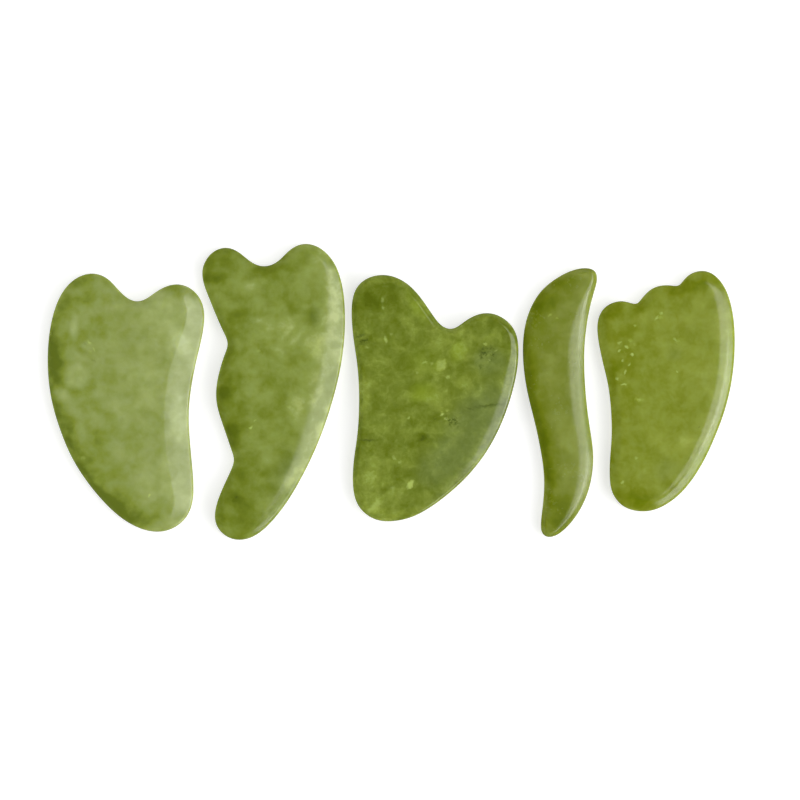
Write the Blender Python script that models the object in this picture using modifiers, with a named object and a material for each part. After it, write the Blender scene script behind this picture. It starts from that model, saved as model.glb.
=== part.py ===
"""A set of five gua sha scrapers, each ground and polished from one piece of green jade.

The scrapers lie face up, side by side, on the plane z = 0. X runs along the row, Y runs up each
scraper towards its lobes, and the origin is under the middle of the row.

Each scraper is one stone: a flat face above and below, a bevel down to the rim all round, and a wider
bevel along the side that scrapes. The script's lengths are in millimetres until MM turns them to metres.
"""

from dataclasses import dataclass
from math import cos, radians, sin

import bmesh
import bpy
import numpy as np
from mathutils import Vector
from mathutils.geometry import interpolate_bezier

MM = 0.001

THICKNESS = 6.0  # between the two flat faces
STEPS = 4  # lengths that each stretch of an outline is cut into
CORNER_POINTS = 3  # points on each rounded corner of the bevel's section
RIM_ROUNDING = 0.9  # how far the rim is rounded along the bevel, as a share of half the rim's thickness
BROW_ROUNDING = 0.35  # how much of the bevel's width is rounded into the flat face
EDGE_STARTS = 60  # degrees from the middle of the scraping edge where its bevel starts to widen
EDGE_FULL = 32  # and where it has its full width
MOST_OF_LOBE = 0.7  # the widest bevel, as a share of the largest circle that touches the rim there
MOST_TAPER = 0.4  # the fastest that a bevel's width changes along the rim
TAPER_BLUR = 5.0  # the length of rim over which those changes are smoothed
MERGE = 0.00001  # metres, for the points on the mirror plane


@dataclass
class Scraper:
    """One stone. Outline rows are (x, y, heading): a point, and the way the rim runs there, anticlockwise."""

    name: str
    middle: tuple  # where the outline's own zero is in the row
    edge_facing: float  # degrees from +X to the way that the scraping edge faces
    bevels: tuple  # their width on the other sides, and along the scraping edge
    half_rims: tuple  # half the rim's thickness, in the same two places
    colour: tuple
    outline: list


MITTEN = Scraper(
    name="mitten_scraper",
    middle=(-88.5, -3.5),
    edge_facing=0,
    bevels=(5.5, 9.8),
    half_rims=(1.2, 1.2),
    colour=(0.28, 0.33, 0.10),
    outline=[
        (-11.2, 43.0, 180),
        (-19.8, 38.6, 230),
        (-24.1, 29.9, 254),
        (-26.1, 14.0, 270),
        (-23.1, -5.6, 288),
        (-17.0, -20.2, 300),
        (-7.5, -33.0, 313),
        (1.6, -40.5, 331),
        (10.6, -43.1, 0),
        (19.6, -38.8, 50),
        (22.5, -29.0, 90),
        (21.7, -17.5, 95),
        (20.9, -5.0, 90),
        (23.1, 12.4, 78),
        (26.1, 29.0, 90),
        (22.7, 37.1, 138),
        (17.0, 39.4, 180),
        (9.2, 36.3, 216),
        (3.8, 33.7, 180),
        (-1.9, 36.9, 134),
        (-6.1, 41.2, 143),
    ],
)

WAVE = Scraper(
    name="wave_scraper",
    middle=(-39.5, 0.0),
    edge_facing=-10,
    bevels=(4.5, 11.0),
    half_rims=(1.2, 1.2),
    colour=(0.24, 0.29, 0.07),
    outline=[
        (10.9, 49.4, 180),
        (3.4, 45.2, 228),
        (-3.0, 41.9, 180),
        (-9.4, 45.0, 139),
        (-15.7, 48.1, 180),
        (-21.8, 44.8, 234),
        (-23.6, 39.7, 270),
        (-20.5, 29.3, 291),
        (-16.5, 20.0, 295),
        (-15.1, 16.0, 270),
        (-16.3, 12.0, 251),
        (-19.0, -1.0, 270),
        (-16.9, -10.4, 289),
        (-13.7, -19.8, 289),
        (-13.0, -22.5, 270),
        (-14.0, -26.0, 246),
        (-17.5, -33.8, 248),
        (-19.4, -41.5, 270),
        (-17.2, -46.8, 315),
        (-11.2, -49.3, 0),
        (0.4, -42.2, 49),
        (11.1, -25.4, 63),
        (20.0, -2.3, 74),
        (24.0, 24.0, 90),
        (21.6, 40.5, 111),
        (17.9, 46.2, 135),
    ],
)

HEART = Scraper(
    name="heart_scraper",
    middle=(14.5, -2.0),
    edge_facing=-30,
    bevels=(2.6, 8.0),
    half_rims=(1.6, 2.3),
    colour=(0.19, 0.24, 0.04),
    outline=[
        (-17.5, 41.0, 180),
        (-24.8, 38.3, 223),
        (-27.8, 28.5, 270),
        (-26.5, 15.2, 279),
        (-25.3, 0.0, 270),
        (-26.4, -16.0, 261),
        (-27.4, -26.5, 270),
        (-25.2, -36.4, 305),
        (-16.0, -41.1, 0),
        (-4.6, -38.2, 29),
        (7.2, -29.5, 42),
        (18.1, -16.3, 59),
        (24.9, -0.8, 73),
        (27.8, 15.5, 90),
        (25.7, 23.8, 127),
        (17.2, 28.3, 180),
        (9.6, 25.3, 216),
        (5.2, 23.0, 180),
        (0.5, 25.9, 127),
        (-5.0, 33.7, 128),
        (-10.5, 38.9, 148),
    ],
)

LEAF = Scraper(
    name="leaf_scraper",
    middle=(56.0, -3.5),
    edge_facing=-10,
    bevels=(4.0, 6.6),
    half_rims=(1.2, 1.0),
    colour=(0.20, 0.24, 0.04),
    outline=[
        (8.8, 44.8, 180),
        (0.0, 42.0, 211),
        (-7.0, 36.0, 234),
        (-10.9, 27.9, 254),
        (-12.2, 17.5, 270),
        (-9.9, 0.0, 284),
        (-6.8, -13.2, 281),
        (-5.1, -27.0, 270),
        (-5.7, -35.5, 263),
        (-6.2, -41.2, 270),
        (-5.4, -44.1, 315),
        (-3.6, -44.9, 0),
        (1.5, -42.4, 42),
        (7.1, -35.2, 61),
        (11.2, -18.4, 90),
        (10.1, -8.4, 99),
        (8.2, 15.0, 90),
        (9.5, 28.6, 80),
        (11.7, 37.5, 73),
        (12.5, 41.4, 90),
        (11.7, 43.9, 137),
    ],
)

FOOT = Scraper(
    name="foot_scraper",
    middle=(91.5, 0.0),
    edge_facing=-10,
    bevels=(4.5, 5.7),
    half_rims=(1.2, 1.0),
    colour=(0.24, 0.28, 0.05),
    outline=[
        (12.2, 40.4, 180),
        (6.6, 38.1, 226),
        (4.8, 35.9, 231),
        (3.8, 35.3, 178),
        (-0.5, 35.6, 184),
        (-4.7, 34.4, 211),
        (-8.3, 30.9, 231),
        (-9.3, 29.6, 229),
        (-10.3, 29.3, 170),
        (-14.8, 30.3, 180),
        (-20.0, 28.5, 218),
        (-22.9, 21.5, 270),
        (-21.3, 10.9, 282),
        (-19.2, 1.6, 279),
        (-18.1, -13.0, 270),
        (-18.8, -26.0, 270),
        (-17.2, -34.9, 301),
        (-13.5, -38.5, 333),
        (-7.5, -39.8, 0),
        (0.0, -37.5, 31),
        (8.0, -30.1, 53),
        (15.0, -17.9, 66),
        (20.3, -3.5, 75),
        (22.9, 17.0, 90),
        (21.6, 29.2, 104),
        (18.1, 37.0, 129),
    ],
)

SCRAPERS = [MITTEN, WAVE, HEART, LEAF, FOOT]


def rim_of(scraper):
    """The outline as closely spaced points about the scraper's own middle."""
    rim = []
    for start, end in zip(scraper.outline, scraper.outline[1:] + scraper.outline[:1], strict=True):
        rim += stretch(start, end)[:-1]
    return np.array(rim)


def stretch(start, end):
    """The curve between two outline rows. Its handles are the ones that make an even turn a round arc."""
    first, last = Vector(start[:2]), Vector(end[:2])
    turned = radians((end[2] - start[2] + 180) % 360 - 180)
    reach = (last - first).length / (3 * cos(turned / 4) ** 2)
    handles = [first + reach * towards(start[2]), last - reach * towards(end[2])]
    return [tuple(point) for point in interpolate_bezier(first, *handles, last, STEPS + 1)]


def towards(heading):
    return Vector((cos(radians(heading)), sin(radians(heading))))


def lengths(vectors):
    return np.linalg.norm(vectors, axis=1)[:, None]


def inward_normals(rim):
    """At each rim point, the way to the centre of the circle through it and its two neighbours."""
    behind = rim - np.roll(rim, 1, axis=0)
    ahead = np.roll(rim, -1, axis=0) - rim
    along = behind * lengths(ahead) / lengths(behind) + ahead * lengths(behind) / lengths(ahead)
    normals = np.column_stack([-along[:, 1], along[:, 0]])
    return normals / lengths(normals)


def touching_radii(rim, normals):
    """At each rim point, the radius of the largest circle inside the outline that touches the rim there."""
    across = rim[None, :, :] - rim[:, None, :]
    depth = np.einsum("ijk,ik->ij", across, normals)
    with np.errstate(divide="ignore", invalid="ignore"):
        radii = (across**2).sum(axis=2) / (2 * depth)
    return np.where(depth > 1e-6, radii, np.inf).min(axis=1)


def distances_along(rim):
    """(distance along the rim between every two of its points, share of the rim's length that each stands for)."""
    gaps = lengths(np.roll(rim, -1, axis=0) - rim)[:, 0]
    travelled = np.cumsum(gaps) - gaps
    apart = np.abs(travelled[:, None] - travelled[None, :])
    return np.minimum(apart, gaps.sum() - apart), (gaps + np.roll(gaps, 1)) / 2


def evened(widths, rim):
    """Bevel widths with no sudden change. They are lowered to a gentle taper first, and then smoothed."""
    apart, shares = distances_along(rim)
    tapered = np.hypot(widths[None, :], MOST_TAPER * apart).min(axis=1)
    nearby = shares * np.exp(-((apart / TAPER_BLUR) ** 2))
    return nearby @ tapered / nearby.sum(axis=1)


def edge_shares(scraper, normals):
    """For each rim point, 1 on the scraping edge and 0 on the other sides."""
    facing = -normals @ np.array(towards(scraper.edge_facing))
    starts, full = cos(radians(EDGE_STARTS)), cos(radians(EDGE_FULL))
    share = np.clip((facing - starts) / (full - starts), 0, 1)
    return share**2 * (3 - 2 * share)


def bevels_of(scraper, rim):
    """(inward normals, bevel widths, half thicknesses of the rim), a row for each rim point."""
    normals = inward_normals(rim)
    share = edge_shares(scraper, normals)
    widths = scraper.bevels[0] + (scraper.bevels[1] - scraper.bevels[0]) * share
    widths = evened(np.minimum(widths, MOST_OF_LOBE * touching_radii(rim, normals)), rim)
    half_rims = evened(scraper.half_rims[0] + (scraper.half_rims[1] - scraper.half_rims[0]) * share, rim)
    return normals, widths[:, None], half_rims[:, None]


def rounded_corner(before, corner, after, reach):
    """Points of the curve that rounds a corner off, starting and ending this far along its two flanks."""
    back = corner + reach * (before - corner) / lengths(before - corner)
    ahead = corner + reach * (after - corner) / lengths(after - corner)
    for t in np.linspace(0, 1, CORNER_POINTS):
        yield (1 - t) ** 2 * back + 2 * t * (1 - t) * corner + t**2 * ahead


def section_of(widths, half_rims):
    """The bevel's section at every rim point: arrays of (inset, height above the middle plane), going up."""
    zero = np.zeros_like(widths)
    face = zero + THICKNESS / 2
    brow_reach = BROW_ROUNDING / 2 * widths
    foot = np.hstack([zero, zero])
    shoulder = np.hstack([zero, half_rims])
    brow = np.hstack([widths - brow_reach, face])
    beyond = np.hstack([widths, face])
    rim_corner = rounded_corner(foot, shoulder, brow, RIM_ROUNDING * half_rims)
    return [foot, *rim_corner, *rounded_corner(shoulder, brow, beyond, brow_reach)]


def upper_half(scraper, rim):
    """A mesh of the stone above its middle plane, open at that plane: rings up the bevel, and the flat face."""
    normals, widths, half_rims = bevels_of(scraper, rim)
    made = bmesh.new()
    rings = []
    for section in section_of(widths, half_rims):
        places = np.hstack([rim + normals * section[:, :1], section[:, 1:]]) * MM
        rings.append([made.verts.new(place) for place in places])
    for lower, upper in zip(rings, rings[1:], strict=False):
        for i in range(len(rim)):
            made.faces.new((lower[i - 1], lower[i], upper[i], upper[i - 1]))
    made.faces.new(rings[-1])
    mesh = bpy.data.meshes.new(scraper.name)
    made.to_mesh(mesh)
    made.free()
    return mesh


def jade(scraper):
    material = bpy.data.materials.new(scraper.name.replace("scraper", "jade"))
    material.use_nodes = True
    shader = material.node_tree.nodes["Principled BSDF"]
    shader.inputs["Base Color"].default_value = (*scraper.colour, 1)
    shader.inputs["Roughness"].default_value = 0.2
    shader.inputs["Metallic"].default_value = 0
    return material


def add_scraper(scraper, rim, set_middle, collection):
    """Puts one stone in the set. The underside is the upper half's mirror image."""
    stone = bpy.data.objects.new(scraper.name, upper_half(scraper, rim))
    collection.objects.link(stone)
    across = (np.array(scraper.middle) - set_middle) * MM
    stone.location = (*across, THICKNESS / 2 * MM)
    stone.data.materials.append(jade(scraper))
    stone.data.shade_smooth()
    mirror = stone.modifiers.new("underside", "MIRROR")
    mirror.use_axis = (False, False, True)
    mirror.merge_threshold = MERGE


def main():
    for leftover in list(bpy.data.objects):
        bpy.data.objects.remove(leftover)
    collection = bpy.data.collections.new("gua_sha_scraper_set")
    bpy.context.scene.collection.children.link(collection)
    rims = [rim_of(scraper) for scraper in SCRAPERS]
    spread = np.vstack([rim + scraper.middle for scraper, rim in zip(SCRAPERS, rims, strict=True)])
    set_middle = (spread.min(axis=0) + spread.max(axis=0)) / 2
    for scraper, rim in zip(SCRAPERS, rims, strict=True):
        add_scraper(scraper, rim, set_middle, collection)


main()
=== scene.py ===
"""The look of the gua sha scraper set: five polished jade stones on a white table, seen from straight above.

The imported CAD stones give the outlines, the widths of the bevels and the places. Each one is replaced by a
finer stone with the same outline. Its rim is rounded, its bevels round softly into the face, and the face is
slightly crowned and uneven, as hand polishing leaves it. Each stone is cut from a jade of its own.
Lengths are in millimetres until MM turns them to metres. A stone's own zero is its middle in the row.
"""

from dataclasses import dataclass, field
from math import cos, pi, radians, sin

import bmesh
import bpy
import numpy as np
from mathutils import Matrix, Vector, noise
from mathutils.geometry import delaunay_2d_cdt


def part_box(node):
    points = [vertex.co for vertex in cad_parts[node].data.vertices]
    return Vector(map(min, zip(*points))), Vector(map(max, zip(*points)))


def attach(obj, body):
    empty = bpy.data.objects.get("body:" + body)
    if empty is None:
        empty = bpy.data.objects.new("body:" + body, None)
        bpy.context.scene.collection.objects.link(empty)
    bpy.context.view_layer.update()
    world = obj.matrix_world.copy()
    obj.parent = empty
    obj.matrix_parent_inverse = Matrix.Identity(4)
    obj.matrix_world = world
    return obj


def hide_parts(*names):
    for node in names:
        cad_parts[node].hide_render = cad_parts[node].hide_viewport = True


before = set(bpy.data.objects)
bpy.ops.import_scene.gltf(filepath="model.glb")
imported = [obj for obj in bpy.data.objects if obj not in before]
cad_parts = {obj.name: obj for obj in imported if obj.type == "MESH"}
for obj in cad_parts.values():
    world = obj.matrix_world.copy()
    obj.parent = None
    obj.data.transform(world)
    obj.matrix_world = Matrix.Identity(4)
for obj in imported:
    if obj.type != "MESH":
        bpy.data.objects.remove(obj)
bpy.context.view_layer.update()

MM = 0.001

# ---------------------------------------------------------------- shape
RIM_STEP = 0.7  # between the points of a rim
SMOOTHING = 0.7  # how far the CAD's small kinks are smoothed over
RIM_LEVEL = 0.1  # how high the CAD's outermost ring is, as a share of its rim's half thickness
BLUNT_FROM, BLUNT_TO = cos(radians(75)), cos(radians(35))  # where a side bevel turns into an edge bevel
CURVE_RINGS = 9  # across the rounded rim, and as many across the rounding into the face
BEVEL_RINGS = 8  # across the straight part between the two, with both its ends
RIM_CLEAR = 1.1  # the rounding into the face stops this many times the rim's rounding from the outline
CROWN_REACH = 20.0  # how far from its top a crowned face's fall is given
FACE_STEP = 1.3  # between the points inside the flat face
ROW_STEP = 0.87 * FACE_STEP  # between the rows that they stand in, which makes near equal triangles
FACE_CLEAR = 0.55  # the least distance from one of them to the face's border
WAVE_LENGTH = 14.0  # of the unevenness that hand polishing leaves
WAVE_DEPTH = 0.06
SEED_STEP = 10.0  # between the places in the noise that two seeds one apart use

# ---------------------------------------------------------------- jade
MIDDLE_PLANE = 3.0  # how high the middle of every stone is
# Painted light: the length along +X over which a stone grows paler towards the lamps by its lean.
PAINTED_LIGHT_REACH = 20.0
CLOUD_SIZE, CLOUD_SHARE = 17.0, 0.35  # the share of the tones, from deepest to palest, that the clouds cross
MOTTLE_SIZE, MOTTLE_SHARE = 5.0, 0.38
GRAIN_SIZE, GRAIN_SHARE = 1.3, 0.35
SWIRL_SIZE = 7.0  # of the swirls that bend the clouds and the patches
SWIRL_REACH, STILL_SHARE = 4.0, 0.4  # how far they bend them, and the share of it that isn't raggedness
FLECK_SIZE, FLECK_REACH = 1.1, 1.2  # of the breaking up of a crystal's or vein's border
GRIT_SIZE, GRIT_REACH = 0.7, 1.3  # of the breaking up of specks and cracks
SPECK_CELL = 2.0  # the space that each speck has
SPECK_FADE = (0.2, 0.5)  # where a speck fades out, in cells from its middle
SPECK_CHANCE = (0.5, 0.8)  # a cell below the first of these chances has no speck, from the second a full one
CRACK_SIZE, CRACK_WIDTH = 2.4, 0.075  # the width is a share of the noise's height
CRACK_BREAKS = 1.8  # the size of the gaps and the pieces that a crack is broken into
CRACK_FADE = (0.4, 0.6)  # the values of that noise between which a crack comes in
BLOTCH_SPREAD = (0.3, 0.7)  # the values of a noise that are drawn apart to its darkest and its palest
PATCH_DEPTH = 9.0  # how deep a patch of colour reaches into the stone
FACE_LIGHT = 0.76  # how bright a white face looks in this light, as a share of full white

# ---------------------------------------------------------------- what lies in the jade
# Each has its colour, and the share of the green that it hides where it is thickest.
GREY = ("#6c7a4c", 0.4)
# A brighter yellow-green of the jade, used also for painted glow of light through lit rims.
GREEN_AND_RIM_GLOW = ("#84981e", 0.5)
CRYSTAL = ("#bccb72", 0.7)
SPECK = ("#b4c45c", 0.7)
CRACK = ("#3c4a14", 0.75)
VEIN = ("#3e4c16", 0.72)

# ---------------------------------------------------------------- polish
ROUGHNESS = 0.14  # where the stone is smoothest
SMEAR_SIZE, SMEAR_ROUGHNESS = 9.0, 0.12  # wide patches that are polished less
SCUFF_SIZE, SCUFF_ROUGHNESS = 1.1, 0.10  # and small ones
JADE_IOR = 1.52
SUBSURFACE_SHARE = 0.8  # of the light that goes into the stone and comes out again beside
SUBSURFACE_RADII = (1.15, 1.0, 0.3)  # how far red, green and blue travel in it, times SUBSURFACE_DEPTH
SUBSURFACE_DEPTH = 2.0
DIMPLE_SIZE, DIMPLE_SHARE = 4.0, 0.6
PIT_SIZE, PIT_SHARE = 1.2, 0.15
RELIEF, RELIEF_STRENGTH = 0.04, 0.25  # how deep the dimples and pits are

# ---------------------------------------------------------------- studio, in metres
TABLE_HALF = 3.0
TABLE_GREY, TABLE_GLOW = 0.5, 0.7  # together they show as plain white
TABLE_ROUGHNESS = 0.8
SOFTBOXES = (  # name, size, place, radiance, and whether it is mirrored in the stones
    ("main_softbox", (2.2, 2.42), (1.85, 0.0, 2.36), 3.1, True),
    ("side_softbox", (3.0, 1.25), (2.18, -1.26, 1.63), 4.2, True),
    ("fill_softbox", (3.0, 1.6), (-2.7, 0.4, 1.2), 3.6, False),
)
SKY_BELOW = 0.05  # how bright the backdrop is well below the horizon, and added everywhere
SKY_AT_HORIZON = 0.65  # what is added at the horizon, and falls to nothing above it
SKY_RISE = (-0.12, -0.06)  # the directions' heights between which it comes in, from -1 below to 1 above
SKY_FALL = (0.0, 0.2)  # and those between which it goes again
CAMERA_HEIGHT = 1.2  # above the stones' middle plane
CAMERA_OVER = (2.93, -2.72)  # in millimetres
SEEN_ACROSS = 800 / 3  # of the table, from side to side of the picture, in millimetres
SENSOR = 36.0  # its width, in millimetres


@dataclass
class Patch:
    """A roughly elliptical patch of the stone: its middle, its half length and half width, and its turn."""

    x: float
    y: float
    length: float
    width: float
    turn: float = 0.0  # of its length from +X, in degrees
    amount: float = 1.0
    softness: float = 1.0  # the share of its size over which it fades out


@dataclass
class Stone:
    """What one stone has of its own, beyond the outline and bevel that the CAD gives."""

    name: str
    middle: tuple  # where its own zero is in the row
    facing: float  # where its scraping edge faces, in degrees from +X
    brows: tuple  # the shares of a side bevel and of an edge bevel that are rounded into the flat face
    bellies: tuple  # how far a side bevel and an edge bevel bulge out
    rounding: float  # how far its rim is rounded, as a share of the rim's half thickness
    crown: tuple  # how far the crowned face has fallen at CROWN_REACH from its top along x, and along y
    seed: float  # which part of the endless noise it is cut from
    colours: tuple  # from the deepest green to the palest
    tones_and_painted_light: list = field(default_factory=list)  # paler (+) or deeper (-) patches: own tones, painted shade on rims away from the lamps, painted rim highlights
    greys: list = field(default_factory=list)  # patches with a greyer tint
    brights_and_rim_glow: list = field(default_factory=list)  # yellow-green patches: the jade's own, and painted glow of light through the lit right rims
    crystals: list = field(default_factory=list)  # pale crystals
    specks: list = field(default_factory=list)  # where crystals too small to place one by one lie
    crackles: list = field(default_factory=list)  # where dark hairline cracks lie
    veins: list = field(default_factory=list)  # long dark veins
    base: float = 0.5  # the tone of the whole, from the deepest (0) to the palest (1)
    painted_light_lean: float = 0.0  # painted light: how much paler it gets along +X, towards the lamps, over the lean's reach
    clouding: float = 1.0  # how strong its clouds are
    mottling: float = 1.0  # how strong its mottles and grain are
    raggedness: float = 1.0  # of the borders of its clouds and patches
    polish: float = 0.0  # how much less rough than the others it is


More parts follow.
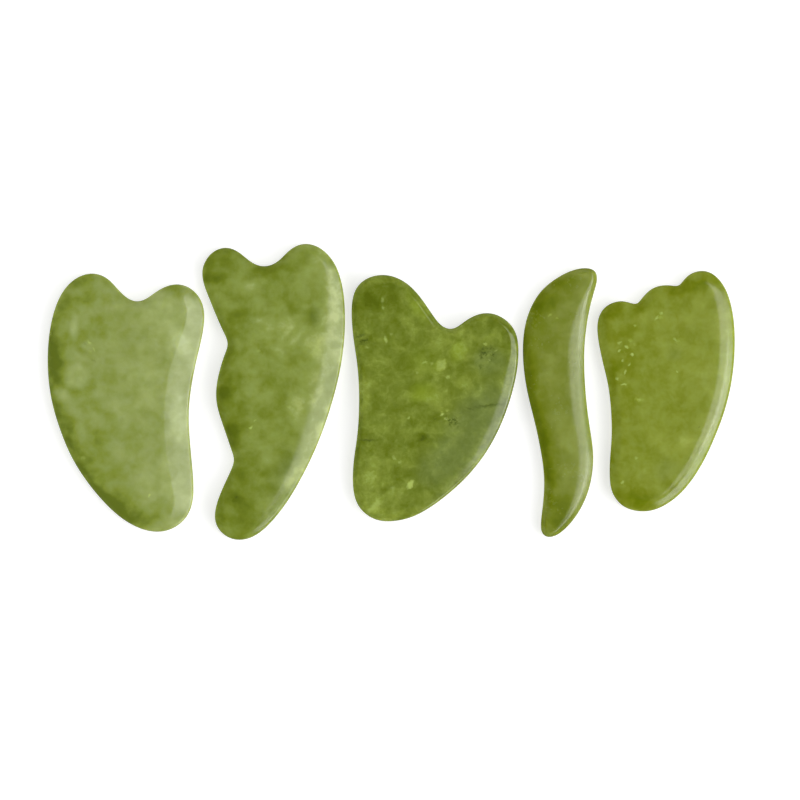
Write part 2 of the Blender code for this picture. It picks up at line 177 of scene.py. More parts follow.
STONES = [
    Stone(
        "mitten", (-88.4, -3.55), 0, (0.95, 0.22), (0.12, 0.05), 0.95, (0.35, 0.15), 11.0,
        ("#62701f", "#7e8c38", "#8c9854", "#9aa666", "#aab67c"),
        # Besides the jade's own tones: painted shade along the left rim and the bottom, painted highlight
        # along the right rim.
        tones_and_painted_light=[
            Patch(-15.9, 8.6, 6.0, 5.7, 0, 0.45, 0.45),
            Patch(-21.5, 2.5, 5.0, 3.5, -30, 0.35, 0.8),
            Patch(-16.9, 25.4, 6.0, 2.4, 90, 0.45, 0.8),
            Patch(-11.5, 25.0, 5.0, 3.5, 0, 0.25),
            Patch(-22.5, 15.5, 8.0, 4.0, 80, -0.3),
            Patch(-27.0, 10.0, 28.0, 9.0, 88, -0.36),
            Patch(-14.5, 17.0, 4.0, 2.2, -40, -0.3),
            Patch(-19.5, -8.0, 16.0, 6.5, 112, -0.42),
            Patch(-12.5, -25.5, 15.0, 7.0, -56, -0.5),
            Patch(-3.0, -34.5, 15.0, 9.0, -20, -0.8),
            Patch(5.0, -39.5, 12.0, 4.5, 10, -0.5),
            Patch(17.0, -37.0, 5.0, 4.0, 30, -0.4),
            Patch(0.0, -23.0, 11.0, 5.0, 20, -0.3),
            Patch(13.0, -24.0, 5.0, 12.0, 0, 0.25),
            Patch(-10.0, 0.0, 9.0, 6.0, 30, 0.1),
            Patch(-3.0, -4.0, 5.0, 9.0, 20, 0.2),
            Patch(-3.0, 26.0, 10.0, 4.5, 0, 0.3),
            Patch(-4.0, 15.0, 5.0, 4.0, 0, 0.2),
            Patch(9.0, 6.0, 9.0, 11.0, 0, 0.35),
            Patch(17.0, 0.0, 17.0, 4.5, 90, 0.45),
            Patch(17.0, 20.0, 7.0, 7.0, 60, 0.4),
            Patch(-14.0, 34.0, 11.0, 5.0, 10, -0.35),
            Patch(-21.5, 31.0, 8.0, 4.0, 65, -0.35),
            Patch(-25.0, 8.5, 6.0, 3.0, 95, 0.25),
            Patch(17.0, 37.0, 9.0, 4.0, -25, -0.45),
        ],
        crystals=[
            Patch(-12.0, 20.0, 1.4, 0.6, -40, 0.8, 0.8),
            Patch(-10.5, 17.6, 1.2, 0.5, -60, 0.6, 0.8),
            Patch(8.0, -31.0, 1.0, 0.6, 80, 0.8, 0.7),
            Patch(-14.0, -18.5, 1.3, 1.2, 0, 0.35, 0.9),
        ],
        specks=[Patch(-11.0, 18.0, 4.0, 2.5, -30, 0.6)],
        veins=[Patch(-10.6, 14.0, 1.6, 0.6, -40, 0.3), Patch(-13.5, 19.4, 1.6, 0.7, -40, 0.3)],
        base=0.5,
        painted_light_lean=0.14,
        clouding=0.9,
        mottling=0.62,
        raggedness=0.0,
        polish=0.05,
    ),
    Stone(
        "wave", (-39.4, -0.05), -10, (0.9, 0.7), (0.12, 0.12), 0.95, (0.35, 0.12), 23.0,
        ("#5a6810", "#6e7c20", "#7e8c3c", "#8b984d", "#a6b26c"),
        # Besides the jade's own tones: painted shade on the left side, painted highlights along the right
        # rim.
        tones_and_painted_light=[
            Patch(-18.5, 37.5, 6.5, 4.0, -20, -0.5),
            Patch(-15.0, 4.0, 14.0, 4.5, 85, -0.4),
            Patch(-10.5, 5.0, 8.0, 5.0, 90, -0.28),
            Patch(-13.0, -14.0, 9.0, 4.0, 110, -0.6),
            Patch(-10.0, -27.0, 9.0, 4.0, 60, -0.3),
            Patch(-12.0, -35.5, 1.5, 1.0, 20, -0.8, 0.6),
            Patch(-13.5, -43.0, 9.0, 7.0, 60, 0.08),
            Patch(-7.5, 34.5, 8.5, 4.5, 10, 0.5),
            Patch(-14.0, 29.0, 5.0, 5.0, 0, 0.35),
            Patch(-5.0, 30.0, 9.0, 5.0, 0, 0.3),
            Patch(-5.0, 24.0, 4.5, 2.5, -20, 0.4),
            Patch(4.5, 20.0, 6.5, 1.8, 48, 0.35),
            Patch(3.5, 12.0, 4.0, 2.5, -50, 0.25),
            Patch(15.5, 12.0, 9.0, 5.0, 80, 0.25),
            Patch(20.5, 29.0, 14.0, 5.0, 92, 0.4),
            Patch(21.5, 8.0, 18.0, 3.5, 82, 0.08),
            Patch(14.5, -14.0, 16.0, 3.5, 62, 0.18),
            Patch(-4.0, -41.0, 8.0, 4.0, 50, -0.25),
            Patch(13.5, 25.0, 6.0, 3.6, 100, -0.5),
            Patch(9.5, 17.0, 5.0, 2.0, 60, -0.35),
            Patch(7.0, 31.0, 6.0, 4.0, 0, -0.12),
            Patch(8.0, 44.0, 9.0, 5.0, 10, -0.3),
            Patch(1.0, 4.0, 7.0, 4.0, 20, -0.1),
            Patch(2.0, -3.0, 12.0, 4.0, 40, -0.16),
            Patch(8.0, -26.0, 14.0, 4.5, 58, 0.6),
            Patch(-1.0, -24.0, 5.0, 4.0, 0, 0.15),
            Patch(-7.0, -34.0, 6.0, 5.0, 60, -0.3),
            Patch(-11.0, -33.0, 6.0, 4.0, 60, -0.25),
        ],
        greys=[Patch(4.0, -26.0, 12.0, 6.0, 60, 0.8), Patch(14.0, 25.0, 6.0, 3.5, 90, 0.8)],
        crystals=[
            Patch(-7.3, -11.9, 1.1, 0.7, 20, 1.0, 0.7),
            Patch(-5.9, -9.5, 0.9, 0.5, 60, 0.5, 0.8),
            Patch(-4.6, 13.5, 1.2, 0.8, 0, 0.35, 0.9),
            Patch(5.5, -5.0, 1.2, 0.8, 0, 0.4, 0.9),
        ],
        specks=[Patch(-7.3, -11.7, 2.2, 1.8, 0, 0.6), Patch(5.5, -3.5, 2.5, 2.5, 0, 0.5)],
        veins=[Patch(-12.0, -35.0, 1.2, 0.7, 30, 0.9)],
        base=0.51,
        painted_light_lean=0.18,
        clouding=1.0,
        mottling=0.8,
        raggedness=0.2,
        polish=0.02,
    ),
    Stone(
        "heart", (14.6, -2.05), -30, (0.8, 1.0), (0.05, 0.12), 0.55, (0.05, 0.05), 37.0,
        ("#56640a", "#637118", "#72802c", "#82903a", "#9caa56"),
        # Besides the jade's own tones: painted shade on the upper left lobe and the left rim.
        tones_and_painted_light=[
            Patch(-20.0, 34.0, 12.0, 9.0, 50, -0.55),
            Patch(-25.0, 29.0, 10.0, 5.0, 90, -0.35),
            Patch(-22.0, 19.0, 7.0, 4.0, 0, -0.35),
            Patch(-21.5, 16.0, 6.0, 3.0, 0, -0.3),
            Patch(-14.5, 31.5, 4.0, 4.0, 0, -0.35),
            Patch(-4.5, 25.0, 4.5, 3.5, -50, -0.35),
            Patch(-9.2, 18.1, 4.0, 2.2, 0, -0.3),
            Patch(-12.0, 9.8, 2.0, 1.0, 0, -0.3),
            Patch(-11.0, -3.0, 6.0, 3.5, 10, -0.4),
            Patch(1.8, 10.8, 2.8, 2.6, 0, 0.5, 0.6),
            Patch(9.0, 16.0, 4.5, 3.0, 60, 0.25),
            Patch(-4.0, 2.0, 7.0, 5.0, 10, 0.5),
            Patch(-12.0, 5.0, 6.0, 4.0, 10, 0.28),
            Patch(2.0, 8.0, 5.0, 4.0, 0, 0.2),
            Patch(-6.5, 30.5, 8.0, 2.5, -56, 0.3),
            Patch(-14.0, 23.0, 3.0, 3.0, 0, 0.2),
            Patch(-20.0, -36.0, 5.5, 5.0, 0, 0.75),
            Patch(-23.0, -27.0, 8.0, 5.0, 80, 0.4),
            Patch(-18.0, -10.5, 9.0, 5.0, 0, 0.42),
            Patch(-12.0, -18.0, 6.0, 4.0, 0, 0.2),
            Patch(-3.0, -17.0, 4.0, 3.0, 0, 0.2),
            Patch(-5.0, -13.0, 4.5, 2.6, -20, -0.3),
            Patch(2.0, -27.0, 8.0, 4.0, 30, -0.25),
            Patch(-6.0, -35.0, 7.0, 4.0, 10, -0.35),
            Patch(16.0, 27.0, 5.0, 3.0, 0, 0.2),
            Patch(18.0, 17.0, 8.0, 4.5, 0, -0.35),
            Patch(12.0, 8.0, 5.0, 3.5, 0, -0.35),
            Patch(19.0, 3.0, 8.0, 4.0, 70, -0.3),
            Patch(10.0, -12.0, 9.0, 5.0, 40, -0.14),
        ],
        greys=[
            Patch(14.0, -8.0, 26.0, 13.0, 55, 1.2, 0.7),
            Patch(2.0, -22.0, 15.0, 10.0, 45, 1.1, 0.8),
            Patch(18.0, 12.0, 9.0, 7.0, 0, 0.8, 0.6),
        ],
        brights_and_rim_glow=[
            Patch(-4.0, 2.0, 7.5, 5.5, 10, 1.0, 0.8),
            Patch(8.0, 15.5, 6.5, 4.0, 60, 1.0),
            Patch(-6.0, 30.5, 9.0, 3.5, -57, 0.9),
            Patch(-4.0, 12.0, 10.0, 8.0, 0, 0.5),
        ],
        crystals=[
            Patch(-8.2, -28.8, 2.3, 1.2, 60, 0.9, 0.5),
            Patch(-17.6, 32.5, 1.5, 0.8, 80, 0.6),
            Patch(-17.2, 30.0, 1.2, 0.8, 100, 0.7),
            Patch(-16.4, 19.5, 1.7, 1.0, -70, 0.9, 0.8),
            Patch(-14.6, 21.2, 1.1, 0.7, 10, 0.6),
            Patch(-3.4, 11.8, 1.5, 0.7, 5, 0.9),
            Patch(-1.2, 11.4, 1.0, 0.8, 0, 0.6),
            Patch(4.3, 7.0, 0.9, 0.8, 0, 0.8),
            Patch(2.3, -5.4, 1.2, 0.9, 50, 1.1, 0.8),
            Patch(3.6, -6.9, 1.2, 0.7, 0, 0.9, 0.8),
            Patch(-8.8, -6.6, 0.8, 0.7, 0, 0.9),
            Patch(-5.9, 8.3, 1.0, 0.8, 0, 0.6),
            Patch(-13.6, -20.0, 1.3, 0.8, -50, 0.7),
            Patch(-11.8, -21.4, 1.2, 0.8, 40, 0.7),
            Patch(-14.0, -30.0, 1.2, 1.0, 0, 0.5),
            Patch(16.6, 18.0, 1.2, 0.7, -30, 0.8),
            Patch(20.4, 15.8, 1.1, 0.6, 20, 0.7),
            Patch(18.0, 12.4, 0.9, 0.6, 60, 0.6),
            Patch(-22.5, 16.8, 1.3, 0.7, 0, 0.6),
        ],
        specks=[
            Patch(-16.9, 25.0, 3.5, 8.0, 0, 0.7),
            Patch(-2.9, 11.0, 3.0, 2.0, 0, 0.9),
            Patch(4.0, -5.5, 4.0, 2.5, -20, 1.0),
            Patch(-12.0, -20.0, 5.0, 3.0, 0, 0.8),
            Patch(16.0, 15.0, 3.0, 3.0, 0, 0.9),
        ],
        crackles=[
            Patch(17.0, 14.0, 5.5, 4.0, 60, 1.2, 0.7),
            Patch(-24.0, 19.5, 4.0, 3.0, 0, 1.1, 0.7),
            Patch(5.0, -7.6, 6.5, 2.5, -10, 1.1, 0.7),
            Patch(-3.5, -14.0, 5.0, 2.5, -10, 0.8),
            Patch(-14.0, 20.0, 3.5, 2.0, 0, 0.8),
        ],
        veins=[
            Patch(17.5, -2.6, 7.5, 0.8, 7, 1.0, 0.9),
            Patch(11.5, -3.6, 2.6, 0.5, -20, 0.7, 0.9),
            Patch(-22.5, -14.0, 4.5, 0.7, 0, 1.0, 0.9),
            Patch(-3.7, -13.4, 3.4, 1.4, 25, 0.8),
            Patch(16.0, 16.4, 1.3, 0.6, 60, 1.0),
            Patch(19.4, 14.6, 1.4, 0.5, -30, 1.0),
            Patch(15.0, 10.2, 1.6, 0.7, 80, 0.9),
            Patch(-25.4, 20.5, 1.5, 0.6, 20, 1.0),
            Patch(-24.4, 17.8, 1.7, 0.5, -10, 1.0),
            Patch(7.2, -8.6, 1.8, 0.5, 10, 0.9),
            Patch(0.0, -6.9, 1.6, 0.5, -20, 0.7),
        ],
        base=0.5,
        painted_light_lean=0.0,
        clouding=0.6,
        mottling=1.25,
        polish=0.1,
    ),
    Stone(
        "leaf", (56.1, -3.55), -10, (0.6, 0.9), (0.1, 0.06), 0.65, (0.4, 0.08), 41.0,
        ("#5c6a00", "#6c7812", "#788330", "#838e3e", "#909a50"),
        # Besides the jade's own tones: painted shade along the left side.
        tones_and_painted_light=[
            Patch(-9.5, 6.0, 24.0, 3.5, 88, -0.35),
            Patch(-5.0, -9.0, 15.0, 5.0, 108, -0.45),
            Patch(-5.0, 32.0, 9.0, 5.5, 30, -0.5),
            Patch(3.0, 39.0, 8.0, 4.0, 20, -0.35),
            Patch(-2.0, -22.0, 8.0, 4.5, 95, -0.4),
            Patch(1.0, -36.0, 12.0, 6.0, 90, -0.5),
            Patch(-3.5, 13.0, 10.0, 4.5, 80, 0.22),
            Patch(4.5, -16.0, 8.0, 3.0, 105, 0.25),
            Patch(5.5, -34.0, 9.0, 4.0, 75, -0.1),
            Patch(6.0, 43.0, 5.0, 2.5, 10, 0.35),
            Patch(-4.0, -22.0, 24.0, 3.0, 99, -0.35),
        ],
        # Painted glow of light through the lit right rim.
        brights_and_rim_glow=[Patch(9.5, 5.0, 42.0, 6.0, 90, 0.7)],
        crystals=[Patch(-3.4, 29.0, 1.2, 0.6, 30, 0.6, 0.8), Patch(-1.0, 28.0, 0.9, 0.5, 0, 0.5, 0.8)],
        specks=[Patch(-3.0, 28.5, 4.0, 1.6, 10, 0.6)],
        base=0.5,
        painted_light_lean=0.3,
        clouding=0.7,
        mottling=0.7,
        raggedness=0.5,
    ),
    Stone(
        "foot", (91.6, -0.05), -10, (0.45, 0.7), (0.08, 0.05), 0.95, (0.25, 0.12), 59.0,
        ("#667400", "#747f16", "#7f8b2e", "#89943a", "#98a44c"),
        # Besides the jade's own tones: painted shade along the left rim and the bottom.
        tones_and_painted_light=[
            Patch(-16.5, 10.0, 7.0, 3.0, 100, -0.35),
            Patch(-15.0, 14.5, 3.0, 2.0, 60, -0.3),
            Patch(-14.8, 3.5, 3.0, 1.6, 20, -0.3),
            Patch(-18.0, 5.0, 8.0, 2.5, 95, -0.45),
            Patch(-18.5, 26.0, 8.0, 4.5, 60, -0.4),
            Patch(-17.0, -16.0, 12.0, 3.0, 92, 0.15),
            Patch(6.5, -17.0, 7.0, 4.5, 60, 0.6),
            Patch(0.0, -20.0, 7.0, 3.0, 80, 0.14),
            Patch(12.0, -10.0, 10.0, 3.5, 75, 0.16),
            Patch(9.0, 18.0, 11.0, 7.0, 0, -0.18),
            Patch(2.5, 12.0, 6.0, 5.0, 0, -0.12),
            Patch(-8.0, 19.0, 7.0, 4.0, 60, 0.16),
            Patch(9.0, 35.0, 14.0, 4.0, 15, -0.55),
            Patch(-8.0, 27.0, 12.0, 3.0, 20, -0.3),
            Patch(-9.0, -35.0, 12.0, 5.0, 0, -0.6),
            Patch(2.0, -31.0, 5.0, 4.0, 0, -0.25),
        ],
        greys=[Patch(2.5, 13.0, 5.0, 4.0, 0, 0.5), Patch(0.0, -26.0, 7.0, 7.0, 0, 0.6)],
        # Painted glow of light through the lit right rim.
        brights_and_rim_glow=[Patch(21.0, 10.0, 28.0, 7.0, 82, 0.8), Patch(12.0, -22.0, 20.0, 6.0, 58, 0.8)],
        crystals=[
            Patch(-3.4, 24.6, 1.4, 0.7, 60, 0.8, 0.7),
            Patch(-1.8, 26.2, 0.9, 0.6, 20, 0.7, 0.7),
            Patch(-10.4, 22.0, 0.9, 0.6, 30, 0.6, 0.7),
            Patch(-13.2, 15.0, 1.3, 0.6, -20, 0.9, 0.7),
            Patch(-15.8, 13.6, 1.0, 0.6, 40, 0.8, 0.7),
            Patch(-11.4, 12.4, 1.0, 0.7, 0, 1.0, 0.7),
            Patch(-13.8, 6.6, 1.1, 0.6, 70, 0.8, 0.7),
            Patch(-14.2, 2.5, 1.5, 0.6, 10, 0.9, 0.7),
            Patch(-16.6, 4.4, 1.1, 0.6, -60, 0.7, 0.7),
            Patch(-12.6, 9.0, 1.0, 0.6, 50, 0.8, 0.7),
            Patch(-14.6, 10.4, 0.9, 0.6, 0, 0.7, 0.7),
            Patch(-15.6, 16.4, 1.2, 0.6, 30, 0.6, 0.7),
            Patch(-9.2, -2.7, 1.1, 0.8, 0, 0.6, 0.7),
            Patch(3.6, 6.8, 0.7, 0.5, 0, 0.8, 0.7),
            Patch(2.9, 17.5, 1.3, 0.6, -40, 0.6, 0.7),
            Patch(-14.5, -30.0, 1.0, 0.7, 50, 0.7, 0.7),
            Patch(-10.0, -22.0, 0.8, 0.7, 0, 0.5, 0.7),
        ],
        specks=[
            Patch(-2.9, 24.0, 3.2, 2.4, 50, 0.8),
            Patch(-12.0, 14.0, 6.0, 3.5, -70, 1.2),
            Patch(-13.5, 5.0, 4.0, 2.5, 80, 1.1),
            Patch(3.5, 16.0, 3.0, 2.5, 0, 0.7),
            Patch(-9.2, -2.7, 2.5, 1.8, 0, 1.0),
        ],
        veins=[Patch(10.6, -11.7, 1.0, 0.4, 20, 0.6), Patch(3.0, 16.0, 1.2, 0.4, -30, 0.4)],
        base=0.52,
        painted_light_lean=0.08,
        clouding=0.6,
        mottling=0.95,
        raggedness=0.5,
        polish=0.05,
    ),
]


# ---------------------------------------------------------------- the stones' shapes
def lengths(vectors):
    return np.linalg.norm(vectors, axis=-1)


def smoothstep(low, high, values):
    share = np.clip((values - low) / (high - low), 0, 1)
    return share**2 * (3 - 2 * share)


def walked(edges):
    """The vertices of a closed chain of edges, in order."""
    beside = {}
    for a, b in edges:
        beside.setdefault(a, []).append(b)
        beside.setdefault(b, []).append(a)
    start = min(beside)
    chain = [start, beside[start][0]]
    while True:
        onward = next(v for v in beside[chain[-1]] if v != chain[-2])
        if onward == start:
            return chain
        chain.append(onward)


def cad_rings(node):
    """The outermost ring of a CAD stone's upper half, and the border of its flat face, both anticlockwise."""
    low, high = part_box(node)
    middle, top = (low.z + high.z) / 2, high.z
    mesh = bmesh.new()
    mesh.from_mesh(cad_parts[node].data)
    bmesh.ops.remove_doubles(mesh, verts=mesh.verts, dist=1e-6)
    mesh.verts.index_update()
    outer = {v for v in mesh.verts if 0 < v.co.z - middle < 0.15 * (top - middle)}
    upper = {v for v in mesh.verts if top - v.co.z < 1e-6}
    flat = {f for f in mesh.faces if upper.issuperset(f.verts)}
    rim = [e for e in mesh.edges if outer.issuperset(e.verts)]
    border = [e for e in mesh.edges if len(flat.intersection(e.link_faces)) == 1]
    rings = []
    for edges in (rim, border):
        chain = walked([[v.index for v in e.verts] for e in edges])
        mesh.verts.ensure_lookup_table()
        ring = np.array([mesh.verts[i].co for i in chain]) / MM
        after = np.roll(ring, -1, axis=0)
        turning = (ring[:, 0] * after[:, 1] - after[:, 0] * ring[:, 1]).sum()
        rings.append(ring if turning > 0 else ring[::-1])
    mesh.free()
    return rings


def evenly(ring, step):
    """The closed ring with evenly spaced points."""
    closed = np.vstack([ring, ring[:1]])
    travelled = np.concatenate([[0], np.cumsum(lengths(np.diff(closed, axis=0)))])
    places = np.linspace(0, travelled[-1], round(travelled[-1] / step), endpoint=False)
    return np.column_stack([np.interp(places, travelled, column) for column in closed.T])


def smooth_loop(ring):
    """Evenly spaced points on the smooth closed curve through the ring's own: a periodic cubic spline."""
    gap = lengths(np.roll(ring, -1, axis=0) - ring)
    gap_before = np.roll(gap, 1)
    slope = (np.roll(ring, -1, axis=0) - ring) / gap[:, None]
    to_next = np.roll(np.eye(len(ring)), 1, axis=1)
    weights = 2 * np.diag(gap_before + gap) + gap[:, None] * to_next + gap_before[:, None] * to_next.T
    bend = np.linalg.solve(weights, 6 * (slope - np.roll(slope, 1, axis=0)))
    stretches = []
    for i in range(len(ring)):
        j = (i + 1) % len(ring)
        ahead = np.linspace(0, gap[i], 25)[:-1, None]
        left = gap[i] - ahead
        curve = (bend[i] * left**3 + bend[j] * ahead**3) / (6 * gap[i])
        curve += (ring[i] / gap[i] - bend[i] * gap[i] / 6) * left
        curve += (ring[j] / gap[i] - bend[j] * gap[i] / 6) * ahead
        stretches.append(curve)
    return evenly(np.vstack(stretches), RIM_STEP)


def blurred(ring, reach):
    """The closed ring with each point moved to the average of those around it."""
    steps = int(3 * reach / RIM_STEP) + 1
    shares = np.exp(-((np.arange(-steps, steps + 1) * RIM_STEP / reach) ** 2) / 2)
    return sum(share * np.roll(ring, k - steps, axis=0) for k, share in enumerate(shares / shares.sum()))


def inward_normals(ring):
    along = np.roll(ring[:, :2], -1, axis=0) - np.roll(ring[:, :2], 1, axis=0)
    return np.column_stack([-along[:, 1], along[:, 0]]) / lengths(along)[:, None]


def cross(a, b):
    return a[..., 0] * b[..., 1] - a[..., 1] * b[..., 0]


def distances_to(border, ring, normals):
    """How far each rim point's normal runs before it meets the border of the flat face."""
    side = (np.roll(border, -1, axis=0) - border)[None, :, :2]
    away = border[None, :, :2] - ring[:, None, :2]
    onward = normals[:, None]
    with np.errstate(divide="ignore", invalid="ignore"):
        distance = cross(away, side) / cross(onward, side)
        share = cross(away, onward) / cross(onward, side)
    meets = (share >= -1e-9) & (share <= 1 + 1e-9) & (distance > 0)
    return np.where(meets, distance, np.inf).min(axis=1)


def rounded(start, corner, end, count):
    """A quadratic Bezier for each rim point, as count rings of (inset, height)."""
    t = np.linspace(0, 1, count)[:, None, None]
    return (1 - t) ** 2 * start + 2 * t * (1 - t) * corner + t**2 * end


def bevel_rings(stone, ring, normals, widths, half_thickness):
    """Rings of (inset, height) for each rim point, from the outline up the bevel to the flat face."""
    facing = np.array([cos(radians(stone.facing)), sin(radians(stone.facing))])
    edge = smoothstep(BLUNT_FROM, BLUNT_TO, -normals @ facing)
    brow_share = stone.brows[0] + (stone.brows[1] - stone.brows[0]) * edge
    belly = stone.bellies[0] + (stone.bellies[1] - stone.bellies[0]) * edge
    half_rim = ring[:, 2] / RIM_LEVEL
    brow_share = np.minimum(brow_share, 1 - RIM_CLEAR * stone.rounding * half_rim / widths)
    level = np.full_like(widths, half_thickness)
    shoulder = np.column_stack([0 * widths, half_rim])
    brow = np.column_stack([widths * (1 - brow_share / 2), level])
    slope = (brow - shoulder) / lengths(brow - shoulder)[:, None]
    rim_end = shoulder + slope * (stone.rounding * half_rim)[:, None]
    brow_start = brow - slope * (brow_share / 2 * widths)[:, None]
    rings = [0 * shoulder[None]]
    rings.append(rounded(shoulder * (1 - stone.rounding), shoulder, rim_end, CURVE_RINGS))
    rings.append(rim_end + np.linspace(0, 1, BEVEL_RINGS)[1:-1, None, None] * (brow_start - rim_end))
    rings.append(rounded(brow_start, brow, np.column_stack([widths, level]), CURVE_RINGS))
    section = np.concatenate(rings)
    across = section[..., 0] / widths
    section[..., 1] += belly * (4 * across * (1 - across)) ** 2
    section[..., 1] = np.minimum(section[..., 1], half_thickness)
    return section


def fall(stone, points, half_thickness):
    """How far polishing has taken each point of the surface towards the middle plane."""
    reach = points[:, :2] / CROWN_REACH
    crown = stone.crown[0] * reach[:, 0] ** 2 + stone.crown[1] * reach[:, 1] ** 2
    places = [Vector((x, y, z + SEED_STEP * stone.seed)) / WAVE_LENGTH for x, y, z in points]
    waves = WAVE_DEPTH * (0.5 + 0.5 * np.array([noise.noise(place) for place in places]))
    return (crown + waves) * points[:, 2] / half_thickness


def inside(points, ring):
    """Which points lie inside the ring: those with an odd number of crossings to their right."""
    start, end = ring[None, :, :2], np.roll(ring[:, :2], -1, axis=0)[None]
    x, y = points[:, 0, None], points[:, 1, None]
    spans = (start[..., 1] > y) != (end[..., 1] > y)
    with np.errstate(divide="ignore", invalid="ignore"):
        crossing = start[..., 0] + (y - start[..., 1]) * (end - start)[..., 0] / (end - start)[..., 1]
    return (spans & (x < crossing)).sum(axis=1) % 2 == 1


def face_points(border):
    """A staggered grid of points inside the flat face, clear of its border."""
    low, high = border.min(axis=0), border.max(axis=0)
    columns = np.arange(low[0], high[0], FACE_STEP)
    rows = enumerate(np.arange(low[1], high[1], ROW_STEP))
    grid = np.array([(x + FACE_STEP / 2 * (row % 2), y) for row, y in rows for x in columns])
    grid = grid[inside(grid, border)]
    return grid[lengths(grid[:, None] - border[None]).min(axis=1) > FACE_CLEAR]


def upper_half(stone, middle, half_thickness):
    """(points, faces, how many points are on the middle plane) of the stone above its middle plane."""
    rim, border = cad_rings(stone.name + "_scraper")
    own = np.array([*stone.middle, middle])
    ring = blurred(smooth_loop(rim - own), SMOOTHING)
    normals = inward_normals(ring)
    widths = blurred(distances_to(border - own, ring, normals), SMOOTHING)
    rings = bevel_rings(stone, ring, normals, widths, half_thickness)
    count = len(ring)
    layers = [np.column_stack([ring[:, :2] + normals * step[:, :1], step[:, 1]]) for step in rings]
    filling = face_points(layers[-1][:, :2])
    flat = np.vstack([layers[-1][:, :2], filling])
    after = np.roll(np.arange(count), -1)
    border_edges = [(int(i), int(j)) for i, j in enumerate(after)]
    triangles = delaunay_2d_cdt([Vector(point) for point in flat], border_edges, [], 1, 1e-6)[2]
    points = np.vstack([*layers, np.column_stack([filling, np.full(len(filling), half_thickness)])])
    points[:, 2] -= fall(stone, points, half_thickness)
    faces = []
    for layer in range(len(layers) - 1):
        base = layer * count
        faces += [(base + i, base + j, base + count + j, base + count + i) for i, j in enumerate(after)]
    base = (len(layers) - 1) * count
    faces += [tuple(base + k for k in triangle) for triangle in triangles]
    return points, faces, count


def stone_mesh(stone):
    """The fine stone: its upper half, and the same again turned over below it."""
    low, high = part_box(stone.name + "_scraper")
    middle, half_thickness = (low.z + high.z) / 2 / MM, (high.z - low.z) / 2 / MM
    points, faces, shared = upper_half(stone, middle, half_thickness)
    own = np.array([*stone.middle, middle])
    below = len(points) - shared
    vertices = np.vstack([points, points[shared:] * [1, 1, -1]]) + own
    lower = [tuple(k if k < shared else k + below for k in reversed(face)) for face in faces]
    mesh = bpy.data.meshes.new(stone.name + "_stone")
    mesh.from_pydata((vertices * MM).tolist(), [], faces + lower)
    mesh.validate()
    mesh.shade_smooth()
    return mesh


# ---------------------------------------------------------------- jade
def linear(hex_colour):
    """An sRGB colour such as "#7c8d30" as the linear values that shaders take."""
    shares = [int(hex_colour[k : k + 2], 16) / 255 for k in (1, 3, 5)]
    return tuple(s / 12.92 if s <= 0.04045 else ((s + 0.055) / 1.055) ** 2.4 for s in shares) + (1.0,)


def seen_as(hex_colour):
    """The linear colour of a stone that looks like hex_colour in this light."""
    red, green, blue, _ = linear(hex_colour)
    return red / FACE_LIGHT, green / FACE_LIGHT, blue / FACE_LIGHT, 1.0


class Tree:
    """A material's or a world's nodes, with a short call for each kind that is needed."""

    def __init__(self, material):
        self.nodes = material.node_tree.nodes
        self.links = material.node_tree.links

    def add(self, kind, sockets, output=0, **settings):
        made = self.nodes.new("ShaderNode" + kind)
        for name, value in settings.items():
            setattr(made, name, value)
        for name, value in sockets.items():
            self.plug(made.inputs[name], value)
        return made.outputs[output]

    def plug(self, socket, value):
        if isinstance(value, bpy.types.NodeSocket):
            self.links.new(value, socket)
        else:
            socket.default_value = value

    def math(self, operation, a, b=0.0, c=0.0):
        return self.add("Math", {0: a, 1: b, 2: c}, operation=operation)

    def vector(self, operation, a, b, c=(0.0, 0.0, 0.0)):
        return self.add("VectorMath", {0: a, 1: b, 2: c}, operation=operation)

    def total(self, terms):
        """The sum of (amount, value) pairs."""
        sum_so_far = 0.0
        for amount, value in terms:
            sum_so_far = self.math("MULTIPLY_ADD", value, amount, sum_so_far)
        return sum_so_far

    def ramped(self, value, low, high, to_low=0.0, to_high=1.0):
        """A smooth step from to_low to to_high as the value goes from low to high."""
        sockets = {"Value": value, "From Min": low, "From Max": high, "To Min": to_low, "To Max": to_high}
        return self.add("MapRange", sockets, interpolation_type="SMOOTHSTEP")

    def noise(self, place, size, detail=2.0, roughness=0.5, output=0):
        sockets = {"Vector": place, "Scale": 1 / size, "Detail": detail, "Roughness": roughness}
        return self.add("TexNoise", sockets, output)

    def centred_noise(self, place, size, detail=2.0, roughness=0.5):
        """Noise from about -0.5 to 0.5."""
        return self.math("SUBTRACT", self.noise(place, size, detail, roughness), 0.5)

    def blotches(self, place, size, detail=2.0, roughness=0.5):
        """Noise with its middle values drawn apart, from -0.5 to 0.5."""
        spread = self.ramped(self.noise(place, size, detail, roughness), *BLOTCH_SPREAD)
        return self.math("SUBTRACT", spread, 0.5)

    def tinted(self, colour, amount, kind):
        """The colour with something else over it, as thick as the amount says: GREY, VEIN and so on."""
        hex_colour, cover = kind
        sockets = {0: self.math("MULTIPLY", amount, cover), 6: colour, 7: seen_as(hex_colour)}
        return self.add("Mix", sockets, 2, data_type="RGBA", blend_type="MIX", clamp_factor=True)

    def patch(self, place, patch):
        """1 in the middle of the patch, fading to 0 at its border."""
        sockets = {
            "Vector": place,
            "Location": (patch.x, patch.y, 0),
            "Rotation": (0, 0, radians(patch.turn)),
            "Scale": (patch.length, patch.width, PATCH_DEPTH),
        }
        around = self.add("Mapping", sockets, vector_type="TEXTURE")
        inwards = self.add("TexGradient", {"Vector": around}, 1, gradient_type="SPHERICAL")
        return self.ramped(inwards, 0.0, patch.softness)

    def patches(self, place, patches):
        return self.total([(patch.amount, self.patch(place, patch)) for patch in patches])

    def capped(self, place, patches):
        """The patches, with no more than 1 where they overlap."""
        return self.math("MINIMUM", self.patches(place, patches), 1.0)


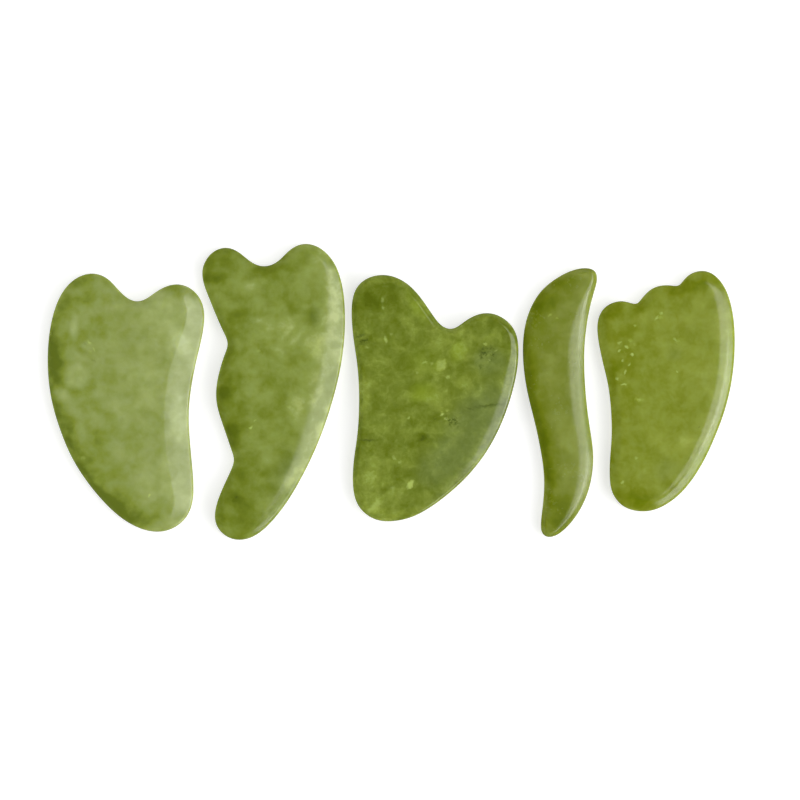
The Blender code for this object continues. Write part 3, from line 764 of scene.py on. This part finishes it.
def jade_colour(tree, stone, own, seeded):
    """The colour at each place of the stone: its greens, whatever else lies in it, and painted shade,
    highlights and glow.

    Patches are placed by own, the place in the stone, and noise by seeded, which differs from stone to stone.
    """
    swirl = tree.noise(seeded, SWIRL_SIZE, 3 * stone.raggedness, 0.6, "Color")
    swirl = tree.vector("SUBTRACT", swirl, (0.5,) * 3)
    reach = (SWIRL_REACH * (STILL_SHARE + (1 - STILL_SHARE) * stone.raggedness),) * 3
    bent = tree.vector("MULTIPLY_ADD", swirl, reach, own)
    bent_seeded = tree.vector("MULTIPLY_ADD", swirl, reach, seeded)

    clouds = tree.blotches(seeded, CLOUD_SIZE)
    mottles = tree.blotches(bent_seeded, MOTTLE_SIZE, 1 + 2 * stone.raggedness, 0.6)
    grain = tree.centred_noise(bent_seeded, GRAIN_SIZE, 2, 0.6)
    # The tone patches add the jade's own tones, painted shade on rims turned from the lamps and painted
    # highlights on lit right rims.
    tone_with_painted_light = tree.total([
        (CLOUD_SHARE * stone.clouding, clouds),
        (MOTTLE_SHARE * stone.mottling, mottles),
        (GRAIN_SHARE * stone.mottling, grain),
        (1.0, tree.patches(bent, stone.tones_and_painted_light)),
    ])
    along = tree.add("SeparateXYZ", {"Vector": bent})
    # Painted light: each stone grows paler along +X, towards the lamps.
    tone_with_painted_light = tree.math("ADD", tone_with_painted_light, tree.math("MULTIPLY_ADD", along, stone.painted_light_lean / PAINTED_LIGHT_REACH, stone.base))
    ramp = tree.nodes.new("ShaderNodeValToRGB")
    tree.links.new(tone_with_painted_light, ramp.inputs[0])
    stops = ramp.color_ramp.elements
    while len(stops) < len(stone.colours):
        stops.new(0.5)
    for k, colour in enumerate(stone.colours):
        stops[k].position = k / (len(stone.colours) - 1)
        stops[k].color = seen_as(colour)
    colour = ramp.outputs[0]
    if stone.greys:
        colour = tree.tinted(colour, tree.capped(bent, stone.greys), GREY)
    # Yellow-green patches: the jade's own, and painted glow of light through the lit right rims.
    if stone.brights_and_rim_glow:
        colour = tree.tinted(colour, tree.capped(bent, stone.brights_and_rim_glow), GREEN_AND_RIM_GLOW)

    flecked = tree.noise(own, FLECK_SIZE, 1, 0.5, "Color")
    flecked = tree.vector("MULTIPLY_ADD", flecked, (FLECK_REACH,) * 3, own)
    flecked = tree.vector("SUBTRACT", flecked, (FLECK_REACH / 2,) * 3)
    if stone.crystals:
        colour = tree.tinted(colour, tree.patches(flecked, stone.crystals), CRYSTAL)

    gritty = tree.noise(own, GRIT_SIZE, 2, 0.5, "Color")
    gritty = tree.vector("MULTIPLY_ADD", gritty, (GRIT_REACH,) * 3, seeded)
    colour = tree.tinted(colour, speckling(tree, stone, own, gritty), SPECK)
    if stone.crackles:
        off_line = tree.math("ABSOLUTE", tree.centred_noise(gritty, CRACK_SIZE, 2, 0.6))
        lines = tree.ramped(off_line, 0.0, CRACK_WIDTH, 1.0, 0.0)
        whole = tree.ramped(tree.noise(seeded, CRACK_BREAKS, 1), *CRACK_FADE)
        broken = tree.math("MULTIPLY", lines, whole)
        cracks = tree.math("MULTIPLY", broken, tree.patches(bent, stone.crackles))
        colour = tree.tinted(colour, cracks, CRACK)
    if stone.veins:
        colour = tree.tinted(colour, tree.capped(flecked, stone.veins), VEIN)
    return colour


def speckling(tree, stone, own, gritty):
    """How much of a speck is at each place: some of the cells in the stone's patches of specks have one."""
    cells = tree.nodes.new("ShaderNodeTexVoronoi")
    tree.links.new(gritty, cells.inputs["Vector"])
    cells.inputs["Scale"].default_value = 1 / SPECK_CELL
    chance = tree.add("SeparateColor", {"Color": cells.outputs["Color"]})
    near = tree.ramped(cells.outputs["Distance"], *SPECK_FADE, 1.0, 0.0)
    where = tree.patches(own, stone.specks)
    chosen = tree.math("MULTIPLY", tree.ramped(chance, *SPECK_CHANCE), where)
    return tree.math("MULTIPLY", near, chosen)


def jade(stone):
    """Polished jade, with light that goes a little way into it."""
    material = bpy.data.materials.new(stone.name + "_jade_stone")
    material.use_nodes = True
    tree = Tree(material)
    shader = tree.nodes["Principled BSDF"]
    objects = tree.add("TexCoord", {}, "Object")
    own_zero = (-stone.middle[0], -stone.middle[1], -MIDDLE_PLANE)
    own = tree.add("Mapping", {"Vector": objects, "Scale": (1 / MM,) * 3, "Location": own_zero})
    seeded = tree.vector("ADD", own, (stone.seed, 2 * stone.seed, 3 * stone.seed))
    tree.plug(shader.inputs["Base Color"], jade_colour(tree, stone, own, seeded))
    smears = tree.noise(seeded, SMEAR_SIZE, 3)
    scuffs = tree.noise(seeded, SCUFF_SIZE, 2)
    gloss = tree.total([(SMEAR_ROUGHNESS, smears), (SCUFF_ROUGHNESS, scuffs)])
    gloss = tree.math("ADD", gloss, ROUGHNESS - stone.polish)
    tree.plug(shader.inputs["Roughness"], gloss)
    shader.inputs["IOR"].default_value = JADE_IOR
    shader.inputs["Subsurface Weight"].default_value = SUBSURFACE_SHARE
    shader.inputs["Subsurface Radius"].default_value = SUBSURFACE_RADII
    shader.inputs["Subsurface Scale"].default_value = SUBSURFACE_DEPTH * MM
    dimples = tree.noise(seeded, DIMPLE_SIZE, 1)
    pits = tree.noise(seeded, PIT_SIZE, 1)
    relief = tree.total([(DIMPLE_SHARE, dimples), (PIT_SHARE, pits)])
    bump = tree.add("Bump", {"Height": relief, "Strength": RELIEF_STRENGTH, "Distance": RELIEF * MM})
    tree.plug(shader.inputs["Normal"], bump)
    return material


for stone in STONES:
    mesh = stone_mesh(stone)
    mesh.materials.append(jade(stone))
    piece = bpy.data.objects.new(mesh.name, mesh)
    bpy.context.scene.collection.objects.link(piece)
    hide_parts(stone.name + "_scraper")
    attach(piece, stone.name)


# ---------------------------------------------------------------- table
def flat_table():
    """A white table that glows a little, so that it shows as the photograph's plain white.

    It isn't mirrored in the stones, because its glow would turn their rims grey.
    """
    half = TABLE_HALF
    corners = [(-half, -half, 0), (half, -half, 0), (half, half, 0), (-half, half, 0)]
    mesh = bpy.data.meshes.new("table")
    mesh.from_pydata(corners, [], [(0, 1, 2, 3)])
    table = bpy.data.objects.new("table", mesh)
    bpy.context.scene.collection.objects.link(table)
    material = bpy.data.materials.new("white_table")
    material.use_nodes = True
    shader = material.node_tree.nodes["Principled BSDF"]
    shader.inputs["Base Color"].default_value = (TABLE_GREY, TABLE_GREY, TABLE_GREY, 1)
    shader.inputs["Roughness"].default_value = TABLE_ROUGHNESS
    shader.inputs["Emission Color"].default_value = (1, 1, 1, 1)
    shader.inputs["Emission Strength"].default_value = TABLE_GLOW
    mesh.materials.append(material)
    table.visible_glossy = False


# ---------------------------------------------------------------- light
def softbox(name, size, place, radiance, mirrored):
    """A rectangular area light aimed at the middle of the row, as bright as a surface of that radiance.

    One that isn't mirrored leaves no highlight.
    """
    light = bpy.data.lights.new(name, "AREA")
    light.shape = "RECTANGLE"
    light.size, light.size_y = size
    light.energy = radiance * pi * size[0] * size[1]
    lamp = bpy.data.objects.new(name, light)
    lamp.location = place
    lamp.rotation_euler = (-Vector(place)).to_track_quat("-Z", "Y").to_euler()
    lamp.visible_camera = False
    lamp.visible_glossy = mirrored
    bpy.context.scene.collection.objects.link(lamp)


def studio():
    for box in SOFTBOXES:
        softbox(*box)
    world = bpy.data.worlds.new("studio")
    world.use_nodes = True
    tree = Tree(world)
    background = tree.nodes["Background"]
    direction = tree.add("TexCoord", {}, "Generated")
    height = tree.add("SeparateXYZ", {"Vector": direction}, "Z")
    rises = tree.ramped(height, *SKY_RISE)
    falls = tree.ramped(height, *SKY_FALL, SKY_AT_HORIZON, 0.0)
    tree.plug(background.inputs["Strength"], tree.math("MULTIPLY_ADD", rises, falls, SKY_BELOW))
    background.inputs["Color"].default_value = (1, 1, 1, 1)
    bpy.context.scene.world = world


# ---------------------------------------------------------------- camera
def camera():
    lens = bpy.data.cameras.new("camera")
    lens.sensor_width = SENSOR
    lens.lens = SENSOR * CAMERA_HEIGHT / (SEEN_ACROSS * MM)
    eye = bpy.data.objects.new("camera", lens)
    x, y = CAMERA_OVER
    eye.location = (x * MM, y * MM, CAMERA_HEIGHT + MIDDLE_PLANE * MM)
    bpy.context.scene.collection.objects.link(eye)
    bpy.context.scene.camera = eye


flat_table()
studio()
camera()
bpy.context.scene.view_settings.view_transform = "Standard"
